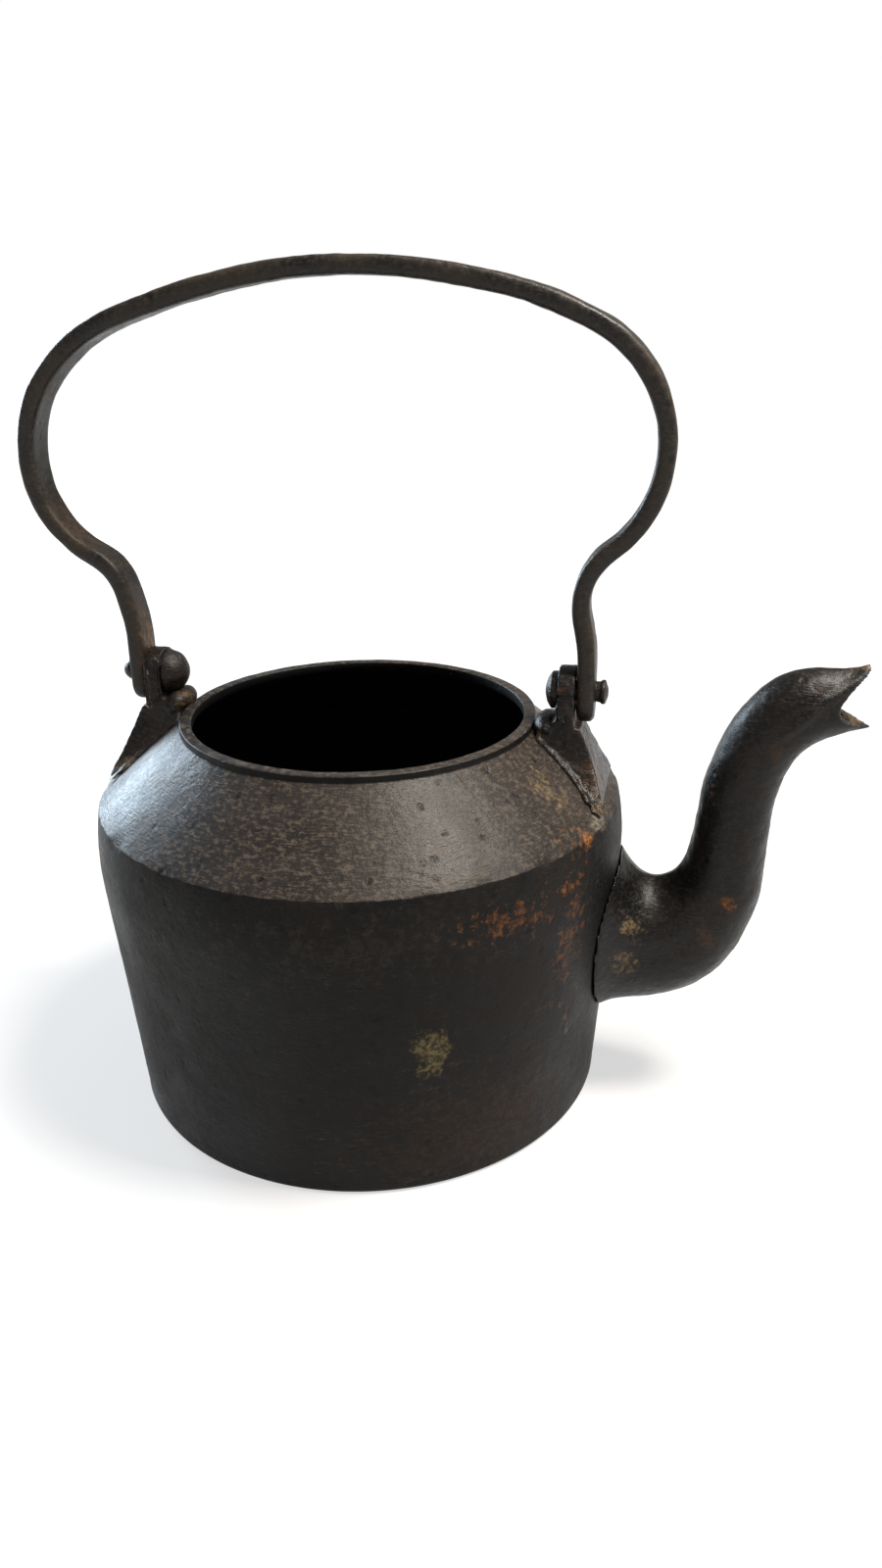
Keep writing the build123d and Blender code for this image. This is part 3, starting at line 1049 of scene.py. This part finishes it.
class KETTLE_OT_stage(bpy.types.Operator):
    """Makes the floor, the world, the soft lights and the camera"""

    bl_idname = "kettle.stage"
    bl_label = "Stage"

    # Camera's place in metres, its right and its line of sight, lens and sensor in millimetres
    eye = Vector((0.11226, -0.39536, 0.28620))
    right = Vector((0.9802, 0.1975, -0.0133))
    ahead = Vector((-0.18657, 0.90383, -0.38508))
    lens = 27.0
    sensor = 36.0
    nearest = 0.01
    # Direction from the kettle, distance, size across and upright, colour
    key = (Vector((0.435, -0.04, 0.89)), 1.3, (0.34, 0.34), (1.0, 0.94, 0.86))
    side = (Vector((-0.82, 0.55, 0.24)), 1.4, (0.55, 0.5), (0.70, 0.86, 1.0))
    aim = Vector((0, 0, 0.12))
    # Half-width of the floor in millimetres, its colour and its roughness
    floor_half = 6000.0
    floor_colour = (0.3, 0.3, 0.3)
    floor_roughness = 0.9
    # How white the floor looks near the kettle, and the distances in metres where it turns white
    near_white = 0.62
    white_from = 0.5
    white_at = 1.6

    def add_floor(self):
        """Adds the floor, which looks white to the camera and still takes the kettle's shadow."""
        shape = bmesh.new()
        bmesh.ops.create_grid(shape, x_segments=1, y_segments=1, size=self.floor_half)
        floor = piece_from(shape, "floor")
        material = bpy.data.materials.new("pale_floor")
        material.use_nodes = True
        tree = material.node_tree
        shader = tree.nodes["Principled BSDF"]
        shader.inputs["Base Color"].default_value = rgba(self.floor_colour)
        shader.inputs["Roughness"].default_value = self.floor_roughness
        rays = add_node(tree, "LightPath").outputs
        seen = plus(tree, rays["Is Camera Ray"], rays["Is Glossy Ray"], True)
        seen = plus(tree, seen, rays["Is Transmission Ray"], True)
        away = vector_calc(tree, "LENGTH", object_place(tree), output="Value")
        white = between(tree, away, self.white_from, self.white_at, self.near_white, 1.0)
        glow = add_node(tree, "CombineColor", {key: white for key in ("Red", "Green", "Blue")})
        shown = blend_colour(tree, seen, (0.0, 0.0, 0.0, 1.0), glow.outputs["Color"])
        tree.links.new(shown, shader.inputs["Emission Color"])
        shader.inputs["Emission Strength"].default_value = 1.0
        floor.data.materials.append(material)

    def add_world(self, scene, fill):
        """Adds the world: white to the camera, and an even light of its own strength otherwise."""
        world = bpy.data.worlds.new("studio")
        world.use_nodes = True
        sky = world.node_tree
        background = sky.nodes["Background"]
        strength = calc(sky, "MAXIMUM", add_node(sky, "LightPath").outputs["Is Camera Ray"], fill)
        background.inputs["Color"].default_value = (1.0, 1.0, 1.0, 1.0)
        sky.links.new(strength, background.inputs["Strength"])
        scene.world = world
        scene.view_settings.view_transform = "Standard"

    def add_lamp(self, scene, name, layout, power):
        """Adds a soft rectangular light that faces the kettle."""
        direction, distance, size, colour = layout
        light = bpy.data.lights.new(name, "AREA")
        light.shape = "RECTANGLE"
        light.size, light.size_y = size
        light.energy = power
        light.color = colour
        lamp = bpy.data.objects.new(name, light)
        lamp.location = direction.normalized() * distance + self.aim
        lamp.rotation_euler = direction.to_track_quat("Z", "Y").to_euler()
        scene.collection.objects.link(lamp)

    def add_camera(self, scene):
        """Adds the camera."""
        data = bpy.data.cameras.new("camera")
        data.sensor_fit = "VERTICAL"
        data.sensor_height = self.sensor
        data.lens = self.lens
        data.clip_start = self.nearest
        camera = bpy.data.objects.new("camera", data)
        up = self.right.cross(self.ahead)
        turn = Matrix((self.right, up, -self.ahead)).transposed()
        camera.matrix_world = Matrix.Translation(self.eye) @ turn.to_4x4()
        scene.collection.objects.link(camera)
        scene.camera = camera

    def execute(self, context):
        scene = context.scene
        studio = scene.kettle_studio
        self.add_floor()
        self.add_world(scene, studio.fill)
        self.add_lamp(scene, "key_light", self.key, studio.key_power)
        self.add_lamp(scene, "side_light", self.side, studio.side_power)
        self.add_camera(scene)
        return {"FINISHED"}


OPERATORS = (
    KETTLE_OT_pot, KETTLE_OT_spout, KETTLE_OT_lugs, KETTLE_OT_bail, KETTLE_OT_rivets,
    KETTLE_OT_stage,
)
SETTINGS = {
    "kettle_form": KettleForm, "kettle_colours": KettleColours, "kettle_studio": KettleStudio,
}


class KETTLE_PT_panel(bpy.types.Panel):
    """Panel that lists the kettle's pieces and settings"""

    bl_idname = "KETTLE_PT_panel"
    bl_label = "Cast iron kettle"
    bl_space_type = "VIEW_3D"
    bl_region_type = "UI"
    bl_category = "Kettle"

    def draw(self, context):
        for operator in OPERATORS:
            self.layout.operator(operator.bl_idname)
        for label, kind in SETTINGS.items():
            for name in kind.__annotations__:
                self.layout.prop(getattr(context.scene, label), name)


CLASSES = (*SETTINGS.values(), *OPERATORS, KETTLE_PT_panel)


def register():
    for entry in CLASSES:
        bpy.utils.register_class(entry)
    for name, kind in SETTINGS.items():
        setattr(bpy.types.Scene, name, PointerProperty(type=kind))


def unregister():
    for name in SETTINGS:
        delattr(bpy.types.Scene, name)
    for entry in reversed(CLASSES):
        bpy.utils.unregister_class(entry)


def main():
    register()
    bpy.ops.kettle.stage()
    bpy.ops.kettle.pot()
    bpy.ops.kettle.spout()
    bpy.ops.kettle.lugs()
    bpy.ops.kettle.bail()
    bpy.ops.kettle.rivets()


if __name__ == "__main__":
    main()
